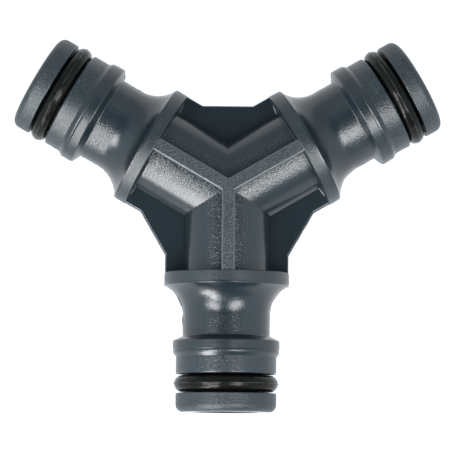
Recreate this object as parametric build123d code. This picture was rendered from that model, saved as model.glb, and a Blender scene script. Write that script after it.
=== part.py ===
"""Garden hose Y coupling: one hollow moulding with three quick-connect spigots, and an O-ring on each spigot.

Units are millimetres. The three arms lie in the XY plane, 120 degrees apart, and their axes meet at the origin.
The stem runs along -Y. +Z is up, and the XY plane is also the parting plane, where the two mould halves met.
"""

import os
from math import sqrt

from build123d import *

# The arms, in turn about +Z from -Y. Every arm is the same.
ARM_NAMES = ["stem", "right", "left"]
FULL_TURN = 360
ARM_ANGLES = [FULL_TURN * i / len(ARM_NAMES) - FULL_TURN / 4 for i in range(len(ARM_NAMES))]

# Water way: a bore down each arm, meeting in the middle. Its core is drawn out through the mouth,
# so the bore is narrower in the hub than in the spigot, with a short cone between.
hub_bore_r = 4.3
bore_r = 4.6
bore_cone_len = 0.5
bore_mouth_chamfer = 0.6

# Hub: the arms' tubes, with a collar at the end of each.
tube_r = 6.9
tube_len = 13.1  # from the origin to the collar
collar_r = 9.9
collar_t = 2.0
collar_edge_round = 0.15
collar_root_round = 0.3

# Y-shaped rib above and below the tubes, its top just under the collars' rims.
rib_w = 2.1
rib_drop = 0.05
rib_corner_round = 0.35
rib_edge_round = 0.2

# Web plate between the arms, on the parting plane.
plate_t = 2.0
plate_inset = 0.05
plate_side_len = 10.3  # from the origin, along an arm, to where the edge turns to the next arm
plate_edge_round = 0.3
plate_root_round = 0.25

# Neck: a flare from the collar, then a plain stretch that the socket's catches drop into.
neck_r = 6.9
flare_len = 4.7
neck_len = 3.35

# Ridge that the catches hook behind, with a fine step where the mould's end piece began.
ridge_r = 8.45
ridge_back_len = 0.75
ridge_top_len = 1.5
ridge_step = 0.04
ridge_step_len = 0.4
ridge_front_len = 0.65
ridge_root_round = 0.3
ridge_back_round = 0.3
ridge_front_round = 0.5

# Land, O-ring groove and nose.
land_r = 7.95
land_len = 2.75
groove_r = 5.75
groove_w = 3.0
groove_edge_round = 0.15
groove_floor_round = 0.25
nose_r = 8.0
nose_len = 3.0
nose_round = 1.17

# O-ring: round in section, stretched on to the groove's floor.
ring_section_r = 1.25
ring_seat_gap = 0.02

# Places along an arm, from the origin outwards.
collar_end = tube_len + collar_t
neck_start = collar_end + flare_len
ridge_start = neck_start + neck_len
ridge_top_start = ridge_start + ridge_back_len
ridge_step_start = ridge_top_start + ridge_top_len
ridge_top_end = ridge_step_start + ridge_step_len
land_start = ridge_top_end + ridge_front_len
land_end = land_start + land_len
nose_start = land_end + groove_w
tip = nose_start + nose_len
rooted = tube_len + collar_t / 2  # the rib and the plate end inside the collars

# Heights and half widths that stay inside a collar's rim.
rib_top = sqrt(collar_r**2 - (rib_w / 2) ** 2) - rib_drop
plate_half_w = sqrt(collar_r**2 - (plate_t / 2) ** 2) - plate_inset


def arm_section():
    """Half section of a solid arm: X runs along the arm, and Y is the radius."""
    hub_side = Polyline((0, 0), (0, tube_r), (tube_len, tube_r), (tube_len, collar_r), (collar_end, collar_r))
    flare = TangentArc((neck_start, neck_r), (collar_end, collar_r), tangent=(-1, 0))
    spigot = Polyline(
        (neck_start, neck_r),
        (ridge_start, neck_r),
        (ridge_top_start, ridge_r),
        (ridge_step_start, ridge_r),
        (ridge_step_start, ridge_r - ridge_step),
        (ridge_top_end, ridge_r - ridge_step),
        (land_start, land_r),
        (land_end, land_r),
        (land_end, groove_r),
        (nose_start, groove_r),
        (nose_start, nose_r),
        (tip, nose_r),
        (tip, 0),
        (0, 0),
    )
    corner_rounds = [
        (tube_len, tube_r, collar_root_round),
        (tube_len, collar_r, collar_edge_round),
        (collar_end, collar_r, collar_edge_round),
        (ridge_start, neck_r, ridge_root_round),
        (ridge_top_start, ridge_r, ridge_back_round),
        (ridge_top_end, ridge_r - ridge_step, ridge_front_round),
        (land_end, land_r, groove_edge_round),
        (land_end, groove_r, groove_floor_round),
        (nose_start, groove_r, groove_floor_round),
        (nose_start, nose_r, groove_edge_round),
        (tip, nose_r, nose_round),
    ]
    section = make_face(hub_side + flare + spigot)
    for place, radius, size in corner_rounds:
        corner = section.vertices().sort_by_distance((place, radius))[0]
        section = fillet(corner, size)
    return section


def bore_section():
    """Half section of one bore: hub stretch, cone, spigot stretch and chamfered mouth."""
    outline = Polyline(
        (0, 0),
        (0, hub_bore_r),
        (neck_start, hub_bore_r),
        (neck_start + bore_cone_len, bore_r),
        (tip - bore_mouth_chamfer, bore_r),
        (tip, bore_r + bore_mouth_chamfer),
        (tip, 0),
        close=True,
    )
    return make_face(outline)


def three_arms(section):
    """Turns a half section into a solid along each arm, and joins the three."""
    one = revolve(section, Axis.X)
    joined = Part()
    for angle in ARM_ANGLES:
        joined += Rot(0, 0, angle) * one
    return joined


def plate():
    """The web plate, cut straight from each arm to the next, with rounded edges."""
    side = [
        (plate_side_len, -plate_half_w),
        (rooted, -plate_half_w),
        (rooted, plate_half_w),
        (plate_side_len, plate_half_w),
    ]
    outline = [Vector(x, y).rotate(Axis.Z, angle) for angle in ARM_ANGLES for x, y in side]
    slab = extrude(make_face(Polyline(*outline, close=True)), plate_t / 2, both=True)
    return fillet(slab.faces().filter_by(Axis.Z).edges(), plate_edge_round)


def ribs():
    """The Y-shaped rib, one wall from the underside to the top."""
    outline = Sketch()
    for angle in ARM_ANGLES:
        outline += Rot(0, 0, angle) * Pos(rooted / 2, 0) * Rectangle(rooted, rib_w)
    crotches = outline.vertices().sort_by_distance((0, 0))[:3]
    outline = fillet(crotches, rib_corner_round)
    wall = extrude(outline, rib_top, both=True)
    return fillet(wall.faces().filter_by(Axis.Z).edges(), rib_edge_round)


def plate_roots():
    """The small fillets where the plate's two flats meet the collars."""
    flat = plate_t / 2
    arc_place = tube_len - plate_root_round
    block = Pos((arc_place + rooted) / 2, flat) * Rectangle(rooted - arc_place, 2 * plate_root_round)
    section = block - Pos(arc_place, flat + plate_root_round) * Circle(plate_root_round)
    strip = extrude(section, plate_half_w - plate_edge_round, both=True)
    joined = Part()
    for angle in ARM_ANGLES:
        for turn_up_or_down in (90, -90):
            joined += Rot(0, 0, angle) * Rot(turn_up_or_down, 0, 0) * strip
    return joined


def body():
    """The moulding: arms, plate and rib in one, with the bores cut through."""
    outside = three_arms(arm_section()) + plate() + plate_roots() + ribs()
    return outside - three_arms(bore_section())


def o_ring(angle):
    """One O-ring, in the middle of its groove, touching the floor all round but for the seat gap."""
    centre_r = groove_r + ring_seat_gap + ring_section_r
    ring = Torus(centre_r, ring_section_r)
    return Rot(0, 0, angle) * Pos((land_end + nose_start) / 2, 0) * Rot(0, 90, 0) * ring


os.makedirs("parts", exist_ok=True)
moulding = body()
print("body: valid", moulding.is_valid, "solids", len(moulding.solids()), "volume", round(moulding.volume, 1))
export_step(moulding, "parts/body.step")
for name, angle in zip(ARM_NAMES, ARM_ANGLES):
    export_step(o_ring(angle), f"parts/o_ring_{name}.step")
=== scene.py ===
# %% [markdown]
# # A garden hose Y coupling
#
# The object is one dark slate-grey plastic moulding with three quick-connect spigots, and a black rubber
# O-ring on each. Its shape is already exact, because it comes in as a solid model. What is left for Blender
# is everything that the eye reads as "moulded plastic": the etched grain, the polished faces, the fine flash
# along the parting line, the rubber's moulding line, and studio light that shows them. Pale glints on the
# grain's peaks, the ribs' pale edges and a pale thread on each O-ring's seam are painted highlights.
#
# The first cell loads the solid model and notes its box.

import bpy
import numpy as np
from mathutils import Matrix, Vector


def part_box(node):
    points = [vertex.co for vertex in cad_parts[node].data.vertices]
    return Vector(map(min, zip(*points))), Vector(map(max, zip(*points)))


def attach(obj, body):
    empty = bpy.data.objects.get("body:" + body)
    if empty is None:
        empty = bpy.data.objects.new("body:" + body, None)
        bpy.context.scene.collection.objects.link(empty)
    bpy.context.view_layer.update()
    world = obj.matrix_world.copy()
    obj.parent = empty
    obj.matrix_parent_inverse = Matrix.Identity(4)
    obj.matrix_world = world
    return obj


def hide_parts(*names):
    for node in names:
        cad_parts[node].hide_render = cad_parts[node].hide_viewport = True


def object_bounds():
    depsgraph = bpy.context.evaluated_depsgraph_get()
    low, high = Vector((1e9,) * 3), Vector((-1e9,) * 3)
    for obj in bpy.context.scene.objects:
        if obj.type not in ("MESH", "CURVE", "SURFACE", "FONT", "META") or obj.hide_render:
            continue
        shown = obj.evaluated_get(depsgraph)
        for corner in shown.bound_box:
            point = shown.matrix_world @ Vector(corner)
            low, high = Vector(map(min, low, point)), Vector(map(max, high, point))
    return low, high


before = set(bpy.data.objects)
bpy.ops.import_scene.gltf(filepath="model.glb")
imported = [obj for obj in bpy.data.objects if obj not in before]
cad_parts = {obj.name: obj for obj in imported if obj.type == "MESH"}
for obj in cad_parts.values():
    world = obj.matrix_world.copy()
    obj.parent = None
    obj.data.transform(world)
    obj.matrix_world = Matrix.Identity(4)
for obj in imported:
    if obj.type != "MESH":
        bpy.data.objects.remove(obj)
cad_low, cad_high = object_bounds()
MM = 0.001
print("nodes:", sorted(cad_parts))
print("size in mm:", [round((high - low) / MM, 2) for low, high in zip(cad_low, cad_high)])

# %% [markdown]
# ## Where things are
#
# All three arms are the same, so one set of sizes serves for all. They repeat the solid model's own sizes,
# in mm: a place is the distance along an arm from the middle, where the arms' axes meet, and a radius is
# the distance out from the arm's axis. The new pieces are worked out in mm in an arm's own frame, and are
# turned and scaled once, at the end. The solid model's mesh could be measured instead, but named sizes can
# be read and changed.

# %% Name the arms and the sizes
ARM_ANGLES = {"stem": -90.0, "right": 30.0, "left": 150.0}

BORE_R, HUB_BORE_R, CONE_LEN, MOUTH_CHAMFER = 4.6, 4.3, 0.5, 0.6
TUBE_R, TUBE_END = 6.9, 13.1
COLLAR_R, COLLAR_END, COLLAR_ROUND, ROOT_ROUND = 9.9, 15.1, 0.15, 0.3
RIB_HALF_W, RIB_TOP, CROTCH_ROUND = 1.05, 9.794, 0.35
PLATE_HALF_T, PLATE_HALF_W, PLATE_SIDE_LEN, PLATE_ROUND = 1.0, 9.799, 10.3, 0.3
NECK_R, NECK_START = 6.9, 19.8
RIDGE_R, RIDGE_START, RIDGE_TOP_START, RIDGE_ROUND = 8.45, 23.15, 23.9, 0.3
STEP_R, STEP_PLACE, STEP_END, STEP_ROUND = 8.41, 25.4, 25.8, 0.5
LAND_R, LAND_START, LAND_END = 7.95, 26.45, 29.2
GROOVE_R, GROOVE_ROUND = 5.75, 0.25
NOSE_R, NOSE_START, NOSE_BACK_ROUND, NOSE_ROUND, TIP = 8.0, 32.2, 0.15, 1.17, 35.2

# These edges are a little softer than the solid model's 0.2 and 0.15 mm, as wear and polishing leave them.
RIB_ROUND, LAND_ROUND = 0.28, 0.28

ring_low, ring_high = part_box("o_ring_stem")
RING_PLACE = -(ring_low.y + ring_high.y) / 2 / MM
RING_SECTION_R = (ring_high.y - ring_low.y) / 2 / MM
RING_CENTRE_R = ring_high.x / MM - RING_SECTION_R


def arm_axes(angle):
    """Unit vectors of an arm, as rows: along it, across it in the plane of the arms, and up."""
    c, s = np.cos(np.radians(angle)), np.sin(np.radians(angle))
    return np.array([[c, s, 0.0], [-s, c, 0.0], [0.0, 0.0, 1.0]])


print(f"O-ring at {RING_PLACE:.2f} mm, radius {RING_CENTRE_R:.2f} mm, section radius {RING_SECTION_R:.2f} mm")
print(f"tip at {TIP} mm; the solid's tip is at {-cad_low.y / MM:.2f} mm")

# %% [markdown]
# ## The camera
#
# A small product is shot from well back with a long lens, which keeps the three arms equally large. The
# camera looks down on the part, a few degrees towards the stem, so that the stem's mouth shows as a thin
# sliver. It could be aimed with a constraint, but writing its three axes out keeps it in one place whatever
# else moves.

# %% Place the camera
FRAME_PX = 454
PX_PER_M = 6267.5
DISTANCE = 0.5133
AIM = np.array([-0.0000014, -0.0056804, 0.0])
LEAN = np.array([-0.02278, -0.08259, 1.0])
ROLL = 0.006734
SENSOR_MM = 36.0
NEAR, FAR = 0.01, 10.0


def camera_axes(lean, roll):
    """The camera's right, up and backward: backward along lean, up near +Y, then rolled about backward."""
    back = lean / np.linalg.norm(lean)
    right = np.cross([0.0, 1.0, 0.0], back)
    right /= np.linalg.norm(right)
    up = np.cross(back, right)
    c, s = np.cos(roll), np.sin(roll)
    return c * right + s * up, c * up - s * right, back


def place_camera():
    """A camera whose scale at the aim is PX_PER_M pixels to the metre, from the pinhole rule."""
    data = bpy.data.cameras.new("long_lens")
    data.sensor_width = SENSOR_MM
    data.lens = PX_PER_M * DISTANCE * SENSOR_MM / FRAME_PX
    data.clip_start, data.clip_end = NEAR, FAR
    camera = bpy.data.objects.new("camera", data)
    bpy.context.scene.collection.objects.link(camera)
    matrix = np.eye(4)
    matrix[:3, 0], matrix[:3, 1], matrix[:3, 2] = camera_axes(LEAN, ROLL)
    matrix[:3, 3] = AIM + DISTANCE * matrix[:3, 2]
    camera.matrix_world = matrix.T.tolist()
    bpy.context.scene.camera = camera
    return camera


camera = place_camera()
print(f"lens {camera.data.lens:.1f} mm at {DISTANCE / MM:.0f} mm")

# %% [markdown]
# ## Colours and nodes
#
# Shaders work in linear light, while a colour picked on a screen is in sRGB, so one function turns hex
# colours to linear. Materials are built from code here rather than by dragging nodes about. One more
# function adds a node with its settings and its links in a single line, which keeps a whole material short
# enough to read at a glance.

# %% Mix colours and add nodes


def colour(text):
    """An sRGB colour such as "#8090A0" as linear red, green and blue, by the sRGB curve, and alpha 1."""
    srgb = np.array([int(text[i : i + 2], 16) for i in (1, 3, 5)]) / 255
    return (*np.where(srgb <= 0.04045, srgb / 12.92, ((srgb + 0.055) / 1.055) ** 2.4), 1.0)


def add_node(tree, kind, settings=None, inputs=None):
    """Adds one node. settings are its properties; inputs are values, or output sockets to link from."""
    node = tree.nodes.new(kind)
    for name, value in (settings or {}).items():
        setattr(node, name, value)
    for name, value in (inputs or {}).items():
        socket = node.inputs[name]
        if isinstance(value, bpy.types.NodeSocket):
            tree.links.new(value, socket)
        else:
            socket.default_value = value
    return node


def new_material(name):
    """An empty node material and its tree."""
    material = bpy.data.materials.new(name)
    material.use_nodes = True
    material.node_tree.nodes.clear()
    return material, material.node_tree


print("middle grey in linear light:", [round(float(value), 3) for value in colour("#808080")[:3]])

# %% [markdown]
# ## The light table
#
# The part lies on an opal acrylic sheet lit from below, which gives a white ground with no shadow. It only
# just reaches white, because a brighter one would burn the round sides out, where the plastic mirrors it
# most. Opal acrylic scatters what comes through, so the eye sees an even, faintly cool white with no gloss
# of its own.

# %% Lay the light table
FLOOR_HALF = 1.5
FLOOR_DROP = 0.00002
TABLE_GLOW = 1.1


def light_table():
    """A square opal sheet a hair under the part. Its base colour is dark, so its glow sets its look."""
    mesh = bpy.data.meshes.new("floor")
    z = cad_low.z - FLOOR_DROP
    signs = [(-1, -1), (1, -1), (1, 1), (-1, 1)]
    mesh.from_pydata([(x * FLOOR_HALF, y * FLOOR_HALF, z) for x, y in signs], [], [(0, 1, 2, 3)])
    floor = bpy.data.objects.new("floor", mesh)
    bpy.context.scene.collection.objects.link(floor)
    material, tree = new_material("opal_acrylic_light_table")
    glow = {"Base Color": colour("#202020"), "Roughness": 0.9, "Emission Color": colour("#F5FAFF")}
    shader = add_node(tree, "ShaderNodeBsdfPrincipled", inputs={**glow, "Emission Strength": TABLE_GLOW})
    add_node(tree, "ShaderNodeOutputMaterial", inputs={"Surface": shader.outputs["BSDF"]})
    mesh.materials.append(material)
    return floor


floor = light_table()
print(f"{floor.name} is {2 * FLOOR_HALF} m wide, {FLOOR_DROP / MM} mm under the part")

# %% [markdown]
# ## The room
#
# What the lamps don't cover, the plastic mirrors as room: pale, faintly cool walls near the floor, about
# half as bright at the back, that fade out towards a dim ceiling and towards the dark front of the studio.
# Real walls could be built round the table, but a sky that depends only on direction is simpler and has no
# corners.

# %% Paint the room
ROOM_GLOW = 1.35
BACK_WALL = 0.52
CEILING_GLOW = 0.2
# For above, the front and the back: a direction, and how many degrees towards it the fade starts and ends.
FADES = [((0.0, 0.0, 1.0), 45.0, 72.0), ((0.0, -1.0, 0.0), 38.0, 78.0), ((0.0, 1.0, 0.0), 5.0, 50.0)]


def fade(tree, way, direction, start, end):
    """1 where the view's angle up towards a direction is under `start` degrees, and 0 over `end`."""
    dot = add_node(tree, "ShaderNodeVectorMath", {"operation": "DOT_PRODUCT"}, {0: way, 1: direction})
    ends = {"From Min": np.sin(np.radians(end)), "From Max": np.sin(np.radians(start))}
    smooth = {"interpolation_type": "SMOOTHSTEP"}
    inputs = {"Value": dot.outputs["Value"], **ends}
    return add_node(tree, "ShaderNodeMapRange", smooth, inputs).outputs["Result"]


def room():
    """Glow = ceiling + above x front x (back wall + behind x the rest) x (room - ceiling)."""
    world = bpy.data.worlds.new("pale_room")
    world.use_nodes = True
    tree = world.node_tree
    tree.nodes.clear()
    way = add_node(tree, "ShaderNodeTexCoord").outputs["Generated"]
    above, front, behind = (fade(tree, way, *span) for span in FADES)

    def times_plus(a, b, c):
        """The socket of a x b + c."""
        node = add_node(tree, "ShaderNodeMath", {"operation": "MULTIPLY_ADD"}, {0: a, 1: b, 2: c})
        return node.outputs["Value"]

    side = times_plus(behind, 1 - BACK_WALL, BACK_WALL)
    walls = times_plus(above, times_plus(front, side, 0.0), 0.0)
    glow = times_plus(walls, ROOM_GLOW - CEILING_GLOW, CEILING_GLOW)
    back = add_node(tree, "ShaderNodeBackground", inputs={"Color": colour("#E4F4FF"), "Strength": glow})
    add_node(tree, "ShaderNodeOutputWorld", inputs={"Surface": back.outputs["Background"]})
    bpy.context.scene.world = world
    return world


print(f"{room().name}: walls {ROOM_GLOW}, back wall {ROOM_GLOW * BACK_WALL:.2f}, ceiling {CEILING_GLOW}")
bpy.context.scene.view_settings.view_transform = "Standard"

# %% [markdown]
# ## The softboxes
#
# Gloss shows a surface's shape by what it mirrors, so the lights matter as much as the plastic. The softbox
# on the left gives the left arm its broad bright bands, the one on the right gives the right arm's, and the
# low narrow lamp on the left lights the flares. Glowing planes would do as well, but an area light gives
# the same rectangle in a reflection with less noise. Its setting is a power, so its radiance is turned to
# watts here.

# %% Hang the softboxes
LAMP_DISTANCE = 0.6
# For each: azimuth and elevation in degrees, width and height in metres, and radiance.
SOFTBOXES = {
    "softbox_left": (216.0, 48.0, 0.20, 0.34, 13.0),
    "softbox_right": (310.0, 57.0, 0.24, 0.34, 11.5),
    "low_lamp": (243.0, 20.0, 0.15, 0.44, 17.0),
}


def towards(azimuth, elevation):
    """The unit vector at an azimuth from +X towards +Y, and an elevation above the floor, in degrees."""
    az, el = np.radians(azimuth), np.radians(elevation)
    return np.array([np.cos(el) * np.cos(az), np.cos(el) * np.sin(az), np.sin(el)])


def softbox(name, azimuth, elevation, width, height, radiance):
    """A rectangular light that faces the part. Its power is its radiance times pi times its area."""
    data = bpy.data.lights.new(name, "AREA")
    data.shape, data.size, data.size_y = "RECTANGLE", width, height
    data.energy = radiance * np.pi * width * height
    light = bpy.data.objects.new(name, data)
    bpy.context.scene.collection.objects.link(light)
    back = towards(azimuth, elevation)
    right = np.cross([0.0, 0.0, 1.0], back)
    right /= np.linalg.norm(right)
    matrix = np.eye(4)
    matrix[:3, 0], matrix[:3, 1], matrix[:3, 2] = right, np.cross(back, right), back
    matrix[:3, 3] = back * LAMP_DISTANCE
    light.matrix_world = matrix.T.tolist()
    return light


for name, setting in SOFTBOXES.items():
    print(f"{name}: {softbox(name, *setting).data.energy:.2f} W")

# %% [markdown]
# ## The outline of an arm
#
# From the collar out, an arm is turned work: one outline, spun round the arm's axis. A toolmaker draws that
# outline as straight cuts whose corners are rounded by the cutter, and that is how it is written here.
# Blender's Bevel could round a spun mesh afterwards, but rounding the outline first gives each point its
# exact facing as well, so gloss flows over the small rounds as it does on the real moulding.

# %% Round an outline's corners
ARC_STEP = 18.0
LONGEST_ARC = 0.35
LONGEST_RUN = 0.45


def left_of(direction):
    """The unit vector a quarter turn to the left, which is the way out of the plastic."""
    return np.stack([-direction[..., 1], direction[..., 0]], axis=-1)


def arc(start, heading, radius, turn):
    """Points and facings on a circle that starts at a point with a heading, and turns left by `turn` degrees.

    With m to the left of the heading h: start + r (sin t h + (1 - cos t) m). To turn right, r and t change
    sign.
    """
    pieces = max(abs(turn) / ARC_STEP, np.radians(abs(turn)) * radius / LONGEST_ARC)
    t = np.radians(np.linspace(0.0, turn, int(np.ceil(pieces)) + 1))[:, None]
    r = radius * np.sign(turn)
    side = left_of(heading)
    points = start + r * (np.sin(t) * heading + (1 - np.cos(t)) * side)
    return points, left_of(np.cos(t) * heading + np.sin(t) * side)


def rounded(corners, longest=LONGEST_RUN):
    """Points and facings of a run of corners (along, out, round). A sharp corner has its point twice.

    On a corner that turns by t, a round of radius r starts r tan(t / 2) before it and ends as far past it.
    """
    corners = np.array(corners, dtype=float)
    headings = np.diff(corners[:, :2], axis=0)
    headings /= np.linalg.norm(headings, axis=1, keepdims=True)
    crossed, along_each = np.cross(headings[:-1], headings[1:]), (headings[:-1] * headings[1:]).sum(1)
    turns = np.degrees(np.arctan2(crossed, along_each))
    cuts = np.zeros(len(corners))
    cuts[1:-1] = corners[1:-1, 2] * np.tan(np.radians(np.abs(turns)) / 2)
    points, facings = [], []
    for i, heading in enumerate(headings):
        start, end = corners[i, :2] + cuts[i] * heading, corners[i + 1, :2] - cuts[i + 1] * heading
        pieces = max(2, int(np.ceil(np.linalg.norm(end - start) / longest)) + 1)
        run = start + np.linspace(0.0, 1.0, pieces)[:, None] * (end - start)
        points.append(run)
        facings.append(np.broadcast_to(left_of(heading), run.shape))
        if i < len(turns) and corners[i + 1, 2] > 0:
            points_on_arc, facings_on_arc = arc(end, heading, corners[i + 1, 2], turns[i])
            points.append(points_on_arc[1:-1])
            facings.append(facings_on_arc[1:-1])
    return np.concatenate(points), np.concatenate(facings)


print("points on a square's rounded corner:", len(rounded([(0, 0, 0), (1, 0, 0.3), (1, 1, 0)])[0]))

# %% [markdown]
# ## The flare
#
# Behind each collar the arm narrows to its neck in one hollow sweep, which lets a coupling's sleeve slide
# up to the collar. It is a circle that ends level with the neck, so it has one right radius. A Bezier curve
# could be eyed in, but a circle is what the mould was turned to, and its facings are exact.

# %% Sweep the flare
FLARE_R = ((NECK_START - COLLAR_END) ** 2 + (COLLAR_R - NECK_R) ** 2) / (2 * (COLLAR_R - NECK_R))


def flare():
    """The rim's outer round, then the flare, a circle that ends level with the neck.

    The round's centre is one round inside the rim and one round outside the flare's circle, so the circles
    touch on the line between their centres.
    """
    rise = FLARE_R - (COLLAR_R - COLLAR_ROUND - NECK_R)
    sink = NECK_START - np.sqrt((FLARE_R + COLLAR_ROUND) ** 2 - rise**2)
    turn = np.degrees(np.arccos(rise / (FLARE_R + COLLAR_ROUND)))
    edge = arc(np.array([sink, COLLAR_R]), np.array([1.0, 0.0]), COLLAR_ROUND, -turn)
    heading = np.array([np.cos(np.radians(turn)), -np.sin(np.radians(turn))])
    sweep = arc(edge[0][-1], heading, FLARE_R, turn)
    return np.concatenate([edge[0], sweep[0][1:]]), np.concatenate([edge[1], sweep[1][1:]])


flare_line = flare()
print(f"flare radius {FLARE_R:.2f} mm, {len(flare_line[0])} points")

# %% [markdown]
# ## The spigot and the bore
#
# The spigot's ridge is what a coupling's claws catch, its groove holds the O-ring, and its nose leads it
# in. A shallow groove runs round the ridge's step: there one mould part ended and the next began. It is a
# tenth of a millimetre deep, too fine for most models, but it draws a crisp dark line through a highlight.
# A bump could suggest it, but a real groove also holds in a close view from the side.

# %% Draw the spigot and the bore
WITNESS_HALF_W, WITNESS_DEPTH, WITNESS_LIP = 0.12, 0.1, 0.03
ONE_RUN = 100.0
SPIGOT = [
    (NECK_START, NECK_R, 0),
    (RIDGE_START, NECK_R, RIDGE_ROUND),
    (RIDGE_TOP_START, RIDGE_R, RIDGE_ROUND),
    (STEP_PLACE - WITNESS_HALF_W, RIDGE_R, 0),
    (STEP_PLACE, RIDGE_R - WITNESS_DEPTH, 0),
    (STEP_PLACE + WITNESS_HALF_W, RIDGE_R - WITNESS_LIP, 0),
    (STEP_END, STEP_R, STEP_ROUND),
    (LAND_START, LAND_R, 0),
    (LAND_END, LAND_R, LAND_ROUND),
    (LAND_END, GROOVE_R, GROOVE_ROUND),
    (NOSE_START, GROOVE_R, GROOVE_ROUND),
    (NOSE_START, NOSE_R, NOSE_BACK_ROUND),
    (TIP, NOSE_R, NOSE_ROUND),
    (TIP, BORE_R + MOUTH_CHAMFER, 0),
]
BORE = [
    (TIP, BORE_R + MOUTH_CHAMFER, 0),
    (TIP - MOUTH_CHAMFER, BORE_R, 0),
    (NECK_START + CONE_LEN, BORE_R, 0),
    (NECK_START, HUB_BORE_R, 0),
    (TUBE_END, HUB_BORE_R, 0),
]
spigot_line = rounded(SPIGOT)
bore_line = rounded(BORE, longest=ONE_RUN)
print(f"{len(spigot_line[0])} points along the spigot and {len(bore_line[0])} back down the bore")

# %% [markdown]
# ## The hub
#
# The hub is three tubes, mitred where they meet, with a Y-shaped rib above and below and a web plate
# between them. It looks complicated, but it is one slice repeated: from the middle of a rib to the line
# half way to the next arm is a sixth of a turn, and with its mirror image above and below that makes twelve
# copies. So one grid is enough. Its columns run round the section, from the rib's middle down its side,
# over the tube and out across the plate; its rows run along the arm, from the mitre to the collar, over the
# collar's face, along the spigot, and back down the bore. A Boolean of solids would give the same shape,
# but not an even grid or exact facings.

# %% Trace the hub's edges
MITRE = np.sqrt(3.0)
BISECTOR = np.array([0.5, MITRE / 2])
HUB_END = TUBE_END - ROOT_ROUND
CORNER_SHARE = 0.6
CROTCH_TURNS = np.radians([240.0, 250.0, 260.0])
ROWS_TO_CORNER, ROWS_PAST_CORNER = 7, 6


def unit(angles):
    """The unit vectors at some angles."""
    return np.stack([np.cos(angles), np.sin(angles)], axis=-1)


CROTCH = (RIB_HALF_W + CROTCH_ROUND) / BISECTOR[1] * BISECTOR
rib_start = (CROTCH + CROTCH_ROUND * unit(CROTCH_TURNS[0]))[0]
corner_x = rib_start + CORNER_SHARE * (HUB_END - rib_start)
to_corner = np.linspace(CROTCH[0], corner_x, ROWS_TO_CORNER)
straight = np.concatenate([to_corner, np.linspace(corner_x, HUB_END, ROWS_PAST_CORNER)])


def rib_side(inset):
    """A rib's edge from above: the crotch's round, about a point on the bisector, then a straight run."""
    round_part = CROTCH + (CROTCH_ROUND + inset) * unit(CROTCH_TURNS)
    straight_part = np.stack([straight, np.full_like(straight, RIB_HALF_W - inset)], axis=1)
    return np.concatenate([round_part, straight_part])


wall = rib_side(0.0)
share = (wall[:, 0] - rib_start) / (HUB_END - rib_start)


def plate_side(inset):
    """The plate's outer edge, less an inset: cut straight across from arm to arm, then along the arm."""
    reach, y = BISECTOR @ (PLATE_SIDE_LEN, PLATE_HALF_W) - inset, PLATE_HALF_W - inset
    knots = np.array([reach * BISECTOR, [(reach - y * BISECTOR[1]) / BISECTOR[0], y], [HUB_END, y]])
    return np.stack([np.interp(share, [0, CORNER_SHARE, 1], knots[:, k]) for k in (0, 1)], axis=1)


row = np.arange(len(wall))[:, None]
corner_row = len(CROTCH_TURNS) + ROWS_TO_CORNER - 1
wall_facing = np.where(row < len(CROTCH_TURNS), -unit(np.resize(CROTCH_TURNS, len(wall))), [0.0, 1.0])
plate_facing = np.where(row <= corner_row, BISECTOR, [0.0, 1.0])
print(f"{len(share)} rows in the hub; the plate's corner is at row {corner_row}")

# %% [markdown]
# ## The tube's columns
#
# Each column of the tube starts on the mitre and ends in a small round at the collar's foot, as every
# inside corner of a moulding does, since a sharp one would crack. The columns could all be straight lines
# of equal length, but then they would cross the mitre. So each one starts where its own angle meets the
# mitre, and its rows are shared out over what is left.

# %% Work out the tube's columns
ROOT_TURNS = np.radians([22.5, 45.0, 67.5, 90.0])
UP = np.array([0.0, 0.0, 1.0])


def lift(flat, z):
    """Puts a height, or one for each point, on points that are given by along and across."""
    return np.concatenate([flat, np.broadcast_to(np.reshape(z, (-1, 1)), (len(flat), 1))], axis=1)


def on_cylinder(x, radius, angle):
    """Points at x along, on a cylinder of a radius, at an angle from the top."""
    return np.stack([x, radius * np.sin(angle), radius * np.cos(angle)], axis=1)


def tube_column(t):
    """The tube from the mitre to the collar's root, a share t of the way from the rib's foot to the plate.

    On a cylinder of radius r at an angle f from the top, the mitre, 60 degrees from the arm, is at
    r sin f / root 3 along.
    """
    foot, side = np.arcsin(wall[:, 1] / TUBE_R), np.arccos(PLATE_HALF_T / TUBE_R)
    f = (1 - t) * foot + t * side
    start, wall_start = TUBE_R * np.sin(f) / MITRE, wall[:, 1] / MITRE
    x = start + (HUB_END - start) * (wall[:, 0] - wall_start) / (HUB_END - wall_start)
    sunk = ROOT_ROUND * (1 - np.cos(ROOT_TURNS))
    root_r = TUBE_R + sunk
    g = (1 - t) * np.arcsin(RIB_HALF_W / root_r) + t * np.arccos((PLATE_HALF_T + sunk) / root_r)
    root = on_cylinder(HUB_END + ROOT_ROUND * np.sin(ROOT_TURNS), root_r, g)
    turns, around = ROOT_TURNS[:, None], on_cylinder(np.zeros_like(g), 1.0, g)
    root_facing = np.cos(turns) * around - np.sin(turns) * np.array([1.0, 0.0, 0.0])
    points = np.concatenate([on_cylinder(x, TUBE_R, f), root])
    return points, np.concatenate([on_cylinder(np.zeros_like(f), 1.0, f), root_facing])


foot, _ = tube_column(0.0)
print(f"a tube's column has {len(foot)} points, from {foot[0, 0]:.2f} to {foot[-1, 0]:.2f} mm along")

# %% [markdown]
# ## The rib's and the plate's columns
#
# The rib and the plate run on into the collar, and their edges are rounded. Bevelling the finished mesh
# would round them too, but a bevel's width changes where three edges meet. Here each edge is a few columns,
# set in and down by the quarter circle that they lie on.

# %% Work out the rib's and the plate's columns
EDGE_TURNS = np.radians([22.5, 45.0, 67.5, 90.0])
ROOT_FADE = 1.6


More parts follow.
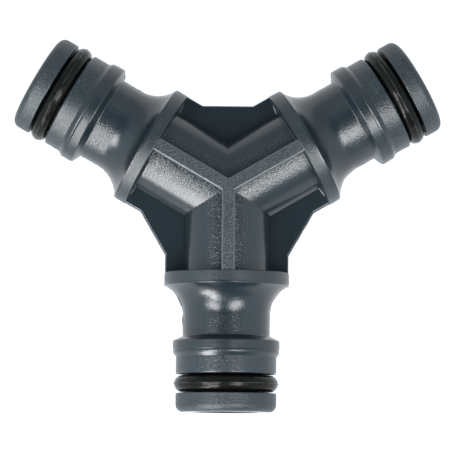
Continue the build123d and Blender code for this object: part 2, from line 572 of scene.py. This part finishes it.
def collar_face(out):
    """Where the collar's inner face is, along the arm: flat, then round over the last bit of the rim."""
    beyond = np.clip(out - (COLLAR_R - COLLAR_ROUND), 0.0, COLLAR_ROUND)
    return TUBE_END + COLLAR_ROUND - np.sqrt(COLLAR_ROUND**2 - beyond**2)


def straight_on(points, facings):
    """Carries a column straight on along the arm into the collar's inner face, with no root round."""
    end_x = collar_face(np.hypot(*points[-1, 1:]))
    rows = np.repeat(points[-1:], len(ROOT_TURNS), axis=0)
    rows[:, 0] = HUB_END + (end_x - HUB_END) * np.sin(ROOT_TURNS)
    row_facings = np.repeat(facings[-1:], len(rows), axis=0)
    return np.concatenate([points, rows]), np.concatenate([facings, row_facings])


def edge_columns(side, facing, top, size):
    """Columns over a rounded edge: at a turn t, in by size (1 - sin t), and down by size (1 - cos t)."""
    for t in EDGE_TURNS:
        points = lift(side(size * (1 - np.sin(t))), top - size * (1 - np.cos(t)))
        yield straight_on(points, np.sin(t) * lift(facing, 0.0) + np.cos(t) * UP)


def plate_column(f):
    """The plate's flat, a share f of the way from the tube to its edge. Its root round dies out outwards."""
    tube, _ = tube_column(1.0)
    hub = lift((1 - f) * tube[: len(wall), :2] + f * plate_side(PLATE_ROUND), PLATE_HALF_T)
    root = tube[len(wall) :].copy()
    root[:, 1] += f * (PLATE_HALF_W - PLATE_ROUND - root[:, 1])
    size = max(0.0, 1 - ROOT_FADE * f)
    root[:, 2] = PLATE_HALF_T + size * ROOT_ROUND * (1 - np.cos(ROOT_TURNS))
    turns = size * ROOT_TURNS
    facing = np.stack([-np.sin(turns), np.zeros_like(turns), np.cos(turns)], axis=1)
    return np.concatenate([hub, root]), np.concatenate([np.broadcast_to(UP, hub.shape), facing])


print("collar's inner face, at its foot and rim:", collar_face(np.array([TUBE_R, COLLAR_R])).round(2), "mm")

# %% [markdown]
# ## The hub's columns in order
#
# The columns are now set side by side, and each brings its finish: how rough the surface is, how deep its
# grain, and how much painted edge highlight it has. The ribs stand proudest, so they are the dullest, and
# their edges are painted pale, a painted highlight.
# The tubes' grain is deep near the ribs and was polished off lower down, and the plate was ground smooth. A
# finish could be painted on as a picture, but a value on each corner of the mesh stays sharp at the edges.

# %% Set the hub's columns side by side
# Each finish is a roughness and a depth of grain.
RIB_FINISH, TUBE_FINISH, PLATE_FINISH, EDGE_FINISH = (0.40, 1.5), (0.21, 1.0), (0.18, 0.0), (0.24, 0.3)
# How strongly the rib edges are painted pale, a painted highlight, from 0 to 1.
PAINTED_EDGE_SHINE = 1.0
TUBE_COLUMNS = np.linspace(0.0, 1.0, 27)
TUBE_GRAIN_AT, TUBE_GRAIN = [0.0, 0.22, 0.38, 1.0], [1.2, 1.1, 0.35, 0.1]
RIB_TOP_SHARES, RIB_SIDE_SHARES, PLATE_SHARES = (0.0, 0.5, 1.0), (0.5, 1.0), (0.0, 1 / 3, 2 / 3, 0.93, 1.0)
FLASH_FOOT = 0.09
columns, finishes = [], []


def add_column(points, facings, rough, grained, edge_shine=0.0):
    """Keeps a column's points and facings, and its finish."""
    columns.append((points, facings))
    finishes.append((rough, grained, edge_shine))


middle = np.stack([share * HUB_END, np.zeros_like(share)], axis=1)
for f in RIB_TOP_SHARES:
    points = lift(f * rib_side(RIB_ROUND) + (1 - f) * middle, RIB_TOP)
    add_column(*straight_on(points, np.broadcast_to(UP, points.shape)), *RIB_FINISH)
for column in edge_columns(rib_side, wall_facing, RIB_TOP, RIB_ROUND):
    # The rib's rounded edges are painted pale: a painted highlight.
    add_column(*column, *EDGE_FINISH, PAINTED_EDGE_SHINE)
brow = columns[-1][0]
across = np.tile([0.0, 1.0, 0.0], (len(ROOT_TURNS), 1))
for f in RIB_SIDE_SHARES:
    points = foot.copy()
    points[:, 2] = (1 - f) * brow[:, 2] + f * foot[:, 2]
    points[len(wall) :, 0] = HUB_END + ROOT_ROUND * np.sin(ROOT_TURNS)
    add_column(points, np.concatenate([lift(wall_facing, 0.0), across]), *EDGE_FINISH)
for t in TUBE_COLUMNS:
    add_column(*tube_column(t), TUBE_FINISH[0], TUBE_FINISH[1] * np.interp(t, TUBE_GRAIN_AT, TUBE_GRAIN))
for f in PLATE_SHARES:
    add_column(*plate_column(f), *PLATE_FINISH)
for column in edge_columns(plate_side, plate_facing, PLATE_HALF_T, PLATE_ROUND):
    add_column(*column, *EDGE_FINISH)
# The two columns at FLASH_FOOT share one place, so that the flash has a sharp foot.
for z in (FLASH_FOOT, FLASH_FOOT, 0.0):
    points = columns[-1][0].copy()
    points[:, 2] = z
    add_column(points, columns[-1][1], *EDGE_FINISH)
hub_points = np.array([points for points, _ in columns])
hub_facings = np.array([facings for _, facings in columns])
hub_rows = hub_points.shape[1]
print(f"{len(columns)} columns of {hub_rows} rows in the hub")

# %% [markdown]
# ## Out along the arm
#
# At the collar every column keeps its own turn round the arm's axis and follows the turned outline, out
# over the collar and the spigot and back down the bore. A separate spun spigot would be simpler, but it
# would leave a seam at the collar. The one thing to watch is the collar's inner face: the columns arrive
# there at different distances from the axis, so each starts on the outline only from where it stands.

# %% Carry the columns on round the collar, the spigot and the bore
rim_back = arc(np.array([TUBE_END, COLLAR_R - COLLAR_ROUND]), np.array([0.0, 1.0]), COLLAR_ROUND, -90.0)
rim = rounded([(TUBE_END + COLLAR_ROUND, COLLAR_R, 0), (flare_line[0][0, 0], COLLAR_R, 0)])
outline = [rim_back, rim, flare_line, spigot_line, bore_line]
line = np.concatenate([points for points, _ in outline])
line_facing = np.concatenate([facings for _, facings in outline])

last = hub_points[:, -1]
last_out = np.hypot(last[:, 1], last[:, 2])
round_dir = last[:, 1:] / last_out[:, None]


def columns_out():
    """Along, out and facing of each column: the outline's, or its own where it stands further out than that.

    The bore ends with one point more, on the mitre, where a bore of radius r meets the next at r y / root 3
    along. Here y is the part of the column's turn that is across.
    """
    reach = np.broadcast_to(line[:, 1], (len(last_out), len(line)))
    held = (np.arange(len(line)) < len(rim_back[0])) & (last_out[:, None] > reach)
    reach = np.where(held, last_out[:, None], reach)
    along = np.where(held, collar_face(reach), line[:, 0])
    slope = np.clip((reach - (COLLAR_R - COLLAR_ROUND)) / COLLAR_ROUND, 0.0, 1.0)
    facing = np.where(held[..., None], np.stack([-np.sqrt(1 - slope**2), slope], axis=-1), line_facing)
    along = np.concatenate([along, HUB_BORE_R * round_dir[:, :1] / MITRE], axis=1)
    reach, facing = (np.concatenate([value, value[:, -1:]], axis=1) for value in (reach, facing))
    return along, reach, facing


def spin(along, reach, facing):
    """Points and facings in space, from along and out: a column keeps its own turn round the arm's axis."""
    ring = np.concatenate([np.zeros((len(round_dir), 1)), round_dir], axis=1)[:, None]
    axis = np.array([1.0, 0.0, 0.0])
    return along[..., None] * axis + reach[..., None] * ring, facing[..., :1] * axis + facing[..., 1:] * ring


arm_points, arm_facings = spin(*columns_out())
slice_points = np.concatenate([hub_points, hub_points[:, -1:], arm_points], axis=1)
slice_facings = np.concatenate([hub_facings, arm_facings[:, :1], arm_facings], axis=1)
facing_error = np.abs(np.linalg.norm(slice_facings, axis=-1) - 1).max()
print("slice:", slice_points.shape, f"largest facing error {facing_error:.1e}")

# %% [markdown]
# ## The finish along the spigot
#
# Each stretch of the arm came from its own ring of the mould, and the rings weren't polished alike. The
# flare and the neck are the glossiest, the rim, the ridge and the land are satin, and the nose is the
# dullest. The small rounds between them are polished, so they catch thin bright lines, but the nose's big
# round was eroded with the nose. A material for each stretch would need the mesh cut between them, so a
# table of places gives every point its finish instead.

# %% Give the spigot its finish
SLOPE_MIDDLE = (STEP_END + LAND_START) / 2
JUST_INSIDE = 0.01
# For each stretch: where it ends, its roughness and its depth of grain. The last is the tip's face.
STRETCHES = [
    (COLLAR_END - COLLAR_ROUND, 0.36, 1.0),
    (NECK_START, 0.19, 0.65),
    (RIDGE_START, 0.23, 0.8),
    (SLOPE_MIDDLE, 0.28, 0.7),
    (LAND_END, 0.33, 1.1),
    (NOSE_START, 0.35, 0.5),
    (TIP - JUST_INSIDE, 0.45, 1.1),
    (np.inf, 0.10, 0.0),
]
LEAST_SLANT, MOST_SLANT = 0.05, 0.95


def finish_of_slice():
    """Roughness, grain and painted edge highlight of each point: by column in the hub, and by stretch further
    out.
    """
    hub = np.repeat(np.array(finishes)[:, None], hub_rows, axis=1)
    x, slant = slice_points[:, hub_rows:, 0], np.abs(slice_facings[:, hub_rows:, 0])
    table = np.array([(*stretch[1:], 0.0) for stretch in STRETCHES])
    spigot = table[np.searchsorted([stretch[0] for stretch in STRETCHES], x)]
    on_round = (slant > LEAST_SLANT) & (slant < MOST_SLANT)
    on_round &= ((x < COLLAR_END) | (x > RIDGE_START)) & (x < TIP - NOSE_ROUND)
    spigot[on_round] = (*EDGE_FINISH, 0.0)
    return np.concatenate([hub, spigot], axis=1)


slice_finish = finish_of_slice()
print("roughness from", slice_finish[..., 0].min(), "to", slice_finish[..., 0].max())

# %% [markdown]
# ## The parting line
#
# The two mould halves met on the plane of the arms, and a little plastic crept between them. It shows as a
# fine, uneven ridge along both sides of each arm, and in a few places as a burr. A bump wouldn't show on
# the outline, which is where the eye looks for it, so it is shape and is put in the mesh.

# %% Raise the flash and copy the slice
FLASH = 0.06
FLASH_END = 31.0
FLASH_FADE_LEN = 1.0
# For each burr: where it is, in mm, then how high and how wide.
BURRS = [
    (-16.35, 18.3, 0.18, 0.25),
    (-13.8, 16.2, 0.14, 0.35),
    (-7.3, -17.6, 0.13, 1.0),
    (-6.9, -20.6, 0.11, 0.6),
]


def flash_height(place):
    """Height of the flash over a place in mm: slow waves of two lengths, and a bell for each burr."""
    x, y = place[..., 0], place[..., 1]
    waves = 0.55 + 0.25 * np.sin(2.1 * x + 1.3 * y) + 0.2 * np.sin(5.3 * y - 3.7 * x + 1.0)
    bells = [h * np.exp(-((x - bx) ** 2 + (y - by) ** 2) / w**2) for bx, by, h, w in BURRS]
    return FLASH * waves + sum(bells)


def flash_share():
    """1 along the parting line, down to 0 under the O-ring, and 0 in the bore, where facings point in."""
    in_bore = slice_facings[-1, :, 1] < 0.0
    return np.where(in_bore, 0.0, np.clip((FLASH_END - slice_points[-1, :, 0]) / FLASH_FADE_LEN, 0, 1))


def copy_of_slice(angle, side, up):
    """A copy turned to an arm, on one side of it, above or below, with its last column raised as flash."""
    turn = np.array([[1], [side], [up]]) * arm_axes(angle)
    points, facings = slice_points @ turn, slice_facings @ turn
    rise = (flash_height(points[-1]) * flash_share())[:, None]
    outward = facings[-1]
    points[-1] += rise * outward
    tilt = np.arctan2(rise, FLASH_FOOT)
    facings[-1] = facings[-2] = np.cos(tilt) * outward + np.sin(tilt) * up * UP
    return points.reshape(-1, 3), facings.reshape(-1, 3)


def grid_faces(n, m):
    """Four corners for each cell of an n by m grid: the cell's own, the next in its row, across, and back."""
    cell = (np.arange(n - 1)[:, None] * m + np.arange(m - 1)).ravel()
    return np.stack([cell, cell + 1, cell + m + 1, cell + m], axis=1)


TWELFTHS = [(angle, side, up) for angle in ARM_ANGLES.values() for side in (1, -1) for up in (1, -1)]
n, m = slice_points.shape[:2]
quads = grid_faces(n, m)
copies = [copy_of_slice(*twelfth) for twelfth in TWELFTHS]
points, facings = (np.concatenate(part) for part in zip(*copies))
# One mirroring turns a copy inside out, so the order of its corners is turned round.
ways = [quads[:, ::-1] if side * up < 0 else quads for _, side, up in TWELFTHS]
faces = np.concatenate([way + i * n * m for i, way in enumerate(ways)])
print(f"{len(copies)} copies with {len(faces)} faces, and flash about {FLASH} mm high")

# %% [markdown]
# ## From arrays to a mesh
#
# The copies meet along their edges, where each place is in the arrays two or more times. Merge by Distance
# could weld them afterwards, but it would lose the facings, so the arrays are welded first: equal places
# get one vertex, and each face's corners keep their own facing and finish. A face with two corners in one
# place drops one, or goes.

# %% Make the moulding
WELD_DECIMALS = 5


def weld(points, faces):
    """One vertex for each place. A corner of a face that is the same vertex as the one before isn't kept."""
    places, where = np.unique(np.round(points, WELD_DECIMALS), axis=0, return_inverse=True)
    corners = where.ravel()[faces]
    keep = corners != np.roll(corners, 1, axis=1)
    keep &= (keep.sum(axis=1) > 2)[:, None]
    return places, corners, keep


def make_object(name, points, faces, facings, values):
    """A mesh object in metres from points in mm, with its own facings, and named values on its corners."""
    places, corners, keep = weld(points, faces)
    counts = keep.sum(axis=1)
    counts = counts[counts > 0]
    mesh = bpy.data.meshes.new(name)
    mesh.vertices.add(len(places))
    mesh.vertices.foreach_set("co", (places * MM).astype(np.float32).ravel())
    mesh.loops.add(int(counts.sum()))
    mesh.loops.foreach_set("vertex_index", corners[keep].astype(np.int32))
    mesh.polygons.add(len(counts))
    mesh.polygons.foreach_set("loop_start", np.concatenate([[0], np.cumsum(counts)[:-1]]).astype(np.int32))
    mesh.update(calc_edges=True)
    mesh.polygons.foreach_set("use_smooth", np.ones(len(counts), dtype=bool))
    for key, value in values.items():
        kind, field = ("FLOAT", "value") if value.ndim == 1 else ("FLOAT_VECTOR", "vector")
        attribute = mesh.attributes.new(key, kind, "CORNER")
        attribute.data.foreach_set(field, value[faces][keep].astype(np.float32).ravel())
    mesh.normals_split_custom_set(facings[faces][keep].tolist())
    piece = bpy.data.objects.new(name, mesh)
    bpy.context.scene.collection.objects.link(piece)
    return piece


def open_edges(mesh):
    """How many edges don't have a face on each side."""
    uses = np.zeros(len(mesh.loops), dtype=np.int32)
    mesh.loops.foreach_get("edge_index", uses)
    return int((np.bincount(uses, minlength=len(mesh.edges)) != 2).sum())


finish = np.tile(slice_finish.reshape(-1, 3), (len(TWELFTHS), 1))
# The third value is how strongly an edge is painted pale, a painted highlight.
values = {"roughness": finish[:, 0], "grain": finish[:, 1], "edge_highlight_paint": finish[:, 2]}
moulding = make_object("moulding", points, faces, facings, values)
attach(moulding, "root")
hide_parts("body")
triangles = len(moulding.data.loops) - 2 * len(moulding.data.polygons)
print(f"moulding: {triangles} triangles, {open_edges(moulding.data)} open edges")

# %% [markdown]
# ## The plastic
#
# The moulding is ABS, dyed slate grey. Most of the mould was spark-eroded, which leaves a fine pebbled
# grain, and the web plate's faces were ground smooth. Under a softbox the grain breaks a highlight up into
# sparkle, and elsewhere it only looks satin. The sparkle is helped by painted glints: where the grain is
# deep, its highest peaks are painted paler in the base colour. A texture picture could carry it, but noise in
# Object coordinates has no seams and keeps one size everywhere.

# %% Mix the spark-eroded ABS
# Real spark erosion is about 0.05 mm wide, which is too fine to show. It is drawn about five times as coarse.
GRAIN = 0.24 * MM
GRAIN_DEPTH = 0.055 * MM
PEAK_FOOT, PEAK_TOP = 0.52, 0.66
SHALLOW = 0.7
ABS_IOR = 1.54
COLOUR_IN_A, COLOUR_IN_B, COLOUR_OUT = 6, 7, 2


def spark_eroded_abs():
    """Slate-grey ABS: the eye gets a dark cool body colour under a clear satin skin, with no metal in it.

    The grain is noise one grain wide, and its bump is the grain value times GRAIN_DEPTH. Its peaks are
    painted paler where the grain is deeper than SHALLOW, as painted glints, and a rib edge is painted paler
    all over, as a painted highlight.
    """
    material, tree = new_material("spark_eroded_abs")
    place = add_node(tree, "ShaderNodeTexCoord").outputs["Object"]
    names = [{"attribute_name": name} for name in ("grain", "roughness", "edge_highlight_paint")]
    depth, rough, painted_edge_light = (add_node(tree, "ShaderNodeAttribute", name).outputs["Fac"] for name in names)
    grain = add_node(tree, "ShaderNodeTexNoise", inputs={"Vector": place, "Scale": 1 / GRAIN, "Detail": 1.0})
    peaks = {"Value": grain.outputs["Fac"], "From Min": PEAK_FOOT, "From Max": PEAK_TOP}
    # The noise's highest peaks and the rib edges mix a paler colour into the base colour: painted glints and
    # a painted highlight.
    glint_spots = add_node(tree, "ShaderNodeMapRange", inputs=peaks)
    less = {"operation": "SUBTRACT", "use_clamp": True}
    steep = add_node(tree, "ShaderNodeMath", less, {0: depth, 1: SHALLOW}).outputs["Value"]
    painted_glint_and_shine = {0: glint_spots.outputs["Result"], 1: steep, 2: painted_edge_light}
    painted_glint_and_shine = add_node(tree, "ShaderNodeMath", {"operation": "MULTIPLY_ADD", "use_clamp": True}, painted_glint_and_shine)
    dye_and_painted_light = {0: painted_glint_and_shine.outputs["Value"], COLOUR_IN_A: colour("#151E23"), COLOUR_IN_B: colour("#41494C")}
    dye_with_painted_glints = add_node(tree, "ShaderNodeMix", {"data_type": "RGBA"}, dye_and_painted_light)
    relief = add_node(tree, "ShaderNodeMath", {"operation": "MULTIPLY"}, {0: depth, 1: GRAIN_DEPTH})
    pebbles = {"Height": grain.outputs["Fac"], "Distance": relief.outputs["Value"], "Strength": 1.0}
    bump = add_node(tree, "ShaderNodeBump", inputs=pebbles).outputs["Normal"]
    skin = {"Base Color": dye_with_painted_glints.outputs[COLOUR_OUT], "Roughness": rough, "IOR": ABS_IOR, "Normal": bump}
    shader = add_node(tree, "ShaderNodeBsdfPrincipled", inputs=skin)
    add_node(tree, "ShaderNodeOutputMaterial", inputs={"Surface": shader.outputs["BSDF"]})
    return material


moulding.data.materials.append(spark_eroded_abs())
print("moulding is made of", moulding.data.materials[0].name)

# %% [markdown]
# ## The O-rings
#
# Each spigot seals on a nitrile rubber O-ring. It was moulded in two halves as well, so a fine line of
# flash runs round its outside, and the rubber flowed round the mould, which left faint streaks along it. It
# is squeezed a little wider than it is high, as a ring in its groove is. A Blender torus would give the
# round section, but its surface would be too perfect: worked out here, the section can swell and thin a
# little as it goes round, which is what breaks its long highlights up.

# %% Turn the O-rings
RING_STEPS, SECTION_STEPS = 160, 32
SEAM_HEIGHT, SEAM_WIDTH = 0.11, 0.09
SEAM_TURNS = np.radians(np.arange(-12.0, 12.1, 3.0))
SECTION_START, SECTION_END = np.radians([20.0, 340.0])
SWELL = 0.008
SQUEEZE = 1.06
STREAK_STRETCH = 8.0


def ring_section(around, section, seed):
    """The section's radius: a true circle, a ridge at the outside, and slow swells in both directions."""
    out_of_line = section * RING_SECTION_R
    uneven = 0.7 + 0.3 * np.sin(13 * around + seed)
    ridge = SEAM_HEIGHT * np.exp(-((out_of_line / SEAM_WIDTH) ** 2)) * uneven
    swell = np.sin(19 * around + 2 * section + seed) + np.sin(31 * around - 3 * section + 2 * seed)
    return RING_SECTION_R - 2 * SWELL + SWELL * swell + ridge


def facings_of(points, v):
    """The facing of each point of a closed grid: the cross product of its run ahead and its run across."""
    ahead = np.stack([np.gradient(points[..., k], axis=0, edge_order=2) for k in range(3)], axis=-1)
    across = np.stack([np.gradient(points[..., k], v, axis=1, edge_order=2) for k in range(3)], axis=-1)
    facings = np.cross(ahead, across)
    return facings / np.linalg.norm(facings, axis=-1, keepdims=True)


def o_ring(arm, angle, seed):
    """A torus about the arm: out = R + r cos v and along = place + squeeze r sin v, with u round the arm.

    The flow value is a place on a cylinder, shrunk round the arm, so noise on it is drawn out into streaks.
    """
    u = np.linspace(0.0, 2 * np.pi, RING_STEPS + 1) - np.pi / 2
    rest = np.linspace(SECTION_START, SECTION_END, SECTION_STEPS)
    v = np.concatenate([SEAM_TURNS, rest, SEAM_TURNS[:1] + 2 * np.pi])
    grid_u, grid_v = np.meshgrid(u, v, indexing="ij")
    wrapped = (grid_v + np.pi) % (2 * np.pi) - np.pi
    r = ring_section(grid_u, wrapped, seed)
    out, along = RING_CENTRE_R + r * np.cos(grid_v), RING_PLACE + SQUEEZE * r * np.sin(grid_v)
    points = np.stack([along, out * np.cos(grid_u), out * np.sin(grid_u)], axis=-1) @ arm_axes(angle)
    facings = facings_of(points, v)
    flow = np.stack([np.cos(grid_u), np.sin(grid_u)], axis=-1) * RING_CENTRE_R / STREAK_STRETCH
    flow = np.concatenate([flow, (wrapped * RING_SECTION_R)[..., None]], axis=-1) * MM
    quads = grid_faces(*grid_u.shape)[:, [0, 3, 2, 1]]
    values = {"flow": flow.reshape(-1, 3)}
    piece = make_object(f"seal_{arm}", points.reshape(-1, 3), quads, facings.reshape(-1, 3), values)
    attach(piece, "root")
    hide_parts(f"o_ring_{arm}")
    return piece


seals = [o_ring(arm, angle, seed) for seed, (arm, angle) in enumerate(ARM_ANGLES.items())]
print("seals:", [(seal.name, len(seal.data.polygons), open_edges(seal.data)) for seal in seals])

# %% [markdown]
# ## The rubber
#
# Nitrile rubber is filled with soot, so it has almost no colour of its own, and what the eye sees is its
# soft gloss. A plain black with one roughness would look like plastic. Here the flow streaks fray the
# gloss, and a paler thread is painted along the flash line, as a painted highlight.

# %% Mix the rubber
# Real flow marks are a few hundredths of a millimetre wide. They are drawn coarser, so that they show.
STREAK_WIDTH = 0.16 * MM
STREAK_DEPTH = 0.014 * MM
SEAM_SHINE_FOOT, SEAM_SHINE_TOP = 0.35, 0.6
SEAM_SHINE_HALF_W = 0.4 * SEAM_WIDTH * MM
RUBBER_ROUGHNESS, RUBBER_IOR, RUBBER_SPECULAR = 0.21, 1.5, 0.15


def nitrile_rubber():
    """Black nitrile rubber: the eye gets near-black with a low, soft gloss, streaked along the ring.

    The paler seam thread is a painted highlight: noise between SEAM_SHINE_FOOT and SEAM_SHINE_TOP, kept
    within SEAM_SHINE_HALF_W of the middle of the outside.
    """
    material, tree = new_material("nitrile_rubber")
    flow = add_node(tree, "ShaderNodeAttribute", {"attribute_name": "flow"}).outputs["Vector"]
    noise = {"Vector": flow, "Scale": 1 / STREAK_WIDTH, "Detail": 2.0}
    streaks = add_node(tree, "ShaderNodeTexNoise", inputs=noise)
    marks = {"Height": streaks.outputs["Fac"], "Distance": STREAK_DEPTH, "Strength": 1.0}
    bump = add_node(tree, "ShaderNodeBump", inputs=marks)
    # Along the middle of the outside, the noise paints a paler thread into the base colour: a painted
    # highlight.
    off_seam = add_node(tree, "ShaderNodeSeparateXYZ", inputs={"Vector": flow}).outputs["Z"]
    seam = add_node(tree, "ShaderNodeMath", {"operation": "COMPARE"}, {0: off_seam, 1: 0.0, 2: SEAM_SHINE_HALF_W})
    span = {"From Min": SEAM_SHINE_FOOT, "From Max": SEAM_SHINE_TOP, "To Max": seam.outputs["Value"]}
    painted_seam_shine = add_node(tree, "ShaderNodeMapRange", inputs={"Value": streaks.outputs["Fac"], **span})
    dye_and_painted_light = {0: painted_seam_shine.outputs["Result"], COLOUR_IN_A: colour("#090908"), COLOUR_IN_B: colour("#3E3D38")}
    rubber_dye_with_painted_seam = add_node(tree, "ShaderNodeMix", {"data_type": "RGBA"}, dye_and_painted_light).outputs[COLOUR_OUT]
    gloss = {"Roughness": RUBBER_ROUGHNESS, "IOR": RUBBER_IOR, "Specular IOR Level": RUBBER_SPECULAR}
    skin = {"Base Color": rubber_dye_with_painted_seam, "Normal": bump.outputs["Normal"], **gloss}
    shader = add_node(tree, "ShaderNodeBsdfPrincipled", inputs=skin)
    add_node(tree, "ShaderNodeOutputMaterial", inputs={"Surface": shader.outputs["BSDF"]})
    return material


rubber = nitrile_rubber()
for seal in seals:
    seal.data.materials.append(rubber)
print("seals are made of", rubber.name)
